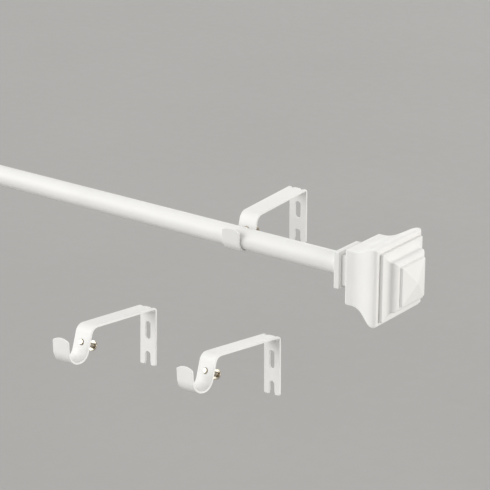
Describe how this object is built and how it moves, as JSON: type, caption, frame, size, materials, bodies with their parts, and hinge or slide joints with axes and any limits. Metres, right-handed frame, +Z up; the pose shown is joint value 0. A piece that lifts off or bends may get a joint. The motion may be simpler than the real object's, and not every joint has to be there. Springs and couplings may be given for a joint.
{
  "type": "curtain rod with brackets",
  "caption": "Telescoping round curtain rod with square stepped finials, held in hook brackets with clamping screws, and loose spare brackets of the same kind.",
  "frame": {"origin": "on the wall side of the right bracket's plate, on the land between its slot and its notch, mid width", "axes": "+X along the rod to the right finial, +Y into the wall, +Z up"},
  "size_m": [0.8334, 0.2366, 0.1245],
  "materials": {
    "white_coated_steel": "semi-gloss white powder coat",
    "white_casting": "semi-gloss white moulding",
    "plug_plastic": "matte moulded",
    "nickel_screw": "nickel plate",
    "zinc_steel": "zinc plate"
  },
  "bodies": {
    "wall_brackets": {"right_bracket_strap": "white_coated_steel", "left_bracket_strap": "white_coated_steel"},
    "outer_tube": {"rod_outer_tube": "white_coated_steel"},
    "inner_tube": {"rod_inner_tube": "white_coated_steel", "inner_tube_glide_plug": "plug_plastic"},
    "right_plug": {"right_finial_end_plug": "plug_plastic", "right_finial_stud": "zinc_steel"},
    "right_finial": {"right_finial_collar": "white_casting", "right_finial_body": "white_casting", "right_finial_stepped_cap": "white_casting"},
    "left_plug": {"left_finial_end_plug": "plug_plastic", "left_finial_stud": "zinc_steel"},
    "left_finial": {"left_finial_collar": "white_casting", "left_finial_body": "white_casting", "left_finial_stepped_cap": "white_casting"},
    "right_screw": {"right_bracket_set_screw": "nickel_screw"},
    "left_screw": {"left_bracket_set_screw": "nickel_screw"},
    "first_spare": {"first_spare_bracket_strap": "white_coated_steel"},
    "second_spare": {"second_spare_bracket_strap": "white_coated_steel"},
    "first_spare_screw": {"first_spare_bracket_set_screw": "nickel_screw"},
    "second_spare_screw": {"second_spare_bracket_set_screw": "nickel_screw"}
  },
  "joints": [
    {"name": "rod_lift", "type": "slide", "parent": "wall_brackets", "child": "outer_tube", "axis": [0, 0, 1], "range_m": [0, 0.04]},
    {"name": "telescope", "type": "slide", "parent": "outer_tube", "child": "inner_tube", "axis": [-1, 0, 0], "range_m": [0, 0.508]},
    {"name": "right_finial_pull", "type": "slide", "parent": "outer_tube", "child": "right_plug", "axis": [1, 0, 0], "range_m": [0, 0.03]},
    {"name": "right_finial_turn", "type": "hinge", "parent": "right_plug", "child": "right_finial", "pos_m": [0.095, -0.07594, 0.01018], "axis": [1, 0, 0], "continuous": true},
    {"name": "left_finial_pull", "type": "slide", "parent": "inner_tube", "child": "left_plug", "axis": [-1, 0, 0], "range_m": [0, 0.03]},
    {"name": "left_finial_turn", "type": "hinge", "parent": "left_plug", "child": "left_finial", "pos_m": [-0.616, -0.07594, 0.01018], "axis": [-1, 0, 0], "continuous": true},
    {"name": "right_screw_travel", "type": "slide", "parent": "wall_brackets", "child": "right_screw", "axis": [0, 0.9205, -0.3907], "range_m": [0, 0.0022]},
    {"name": "left_screw_travel", "type": "slide", "parent": "wall_brackets", "child": "left_screw", "axis": [0, 0.9205, -0.3907], "range_m": [0, 0.0022]},
    {"name": "first_spare_pick_up", "type": "slide", "parent": "wall_brackets", "child": "first_spare", "axis": [0, 0, 1], "range_m": [0, 0.05]},
    {"name": "first_spare_screw_travel", "type": "slide", "parent": "first_spare", "child": "first_spare_screw", "axis": [0.1246, 0.855, -0.5034], "range_m": [0, 0.0022]},
    {"name": "second_spare_pick_up", "type": "slide", "parent": "wall_brackets", "child": "second_spare", "axis": [0, 0, 1], "range_m": [0, 0.05]},
    {"name": "second_spare_screw_travel", "type": "slide", "parent": "second_spare", "child": "second_spare_screw", "axis": [0.1873, 0.8438, -0.503], "range_m": [0, 0.0022]}
  ]
}
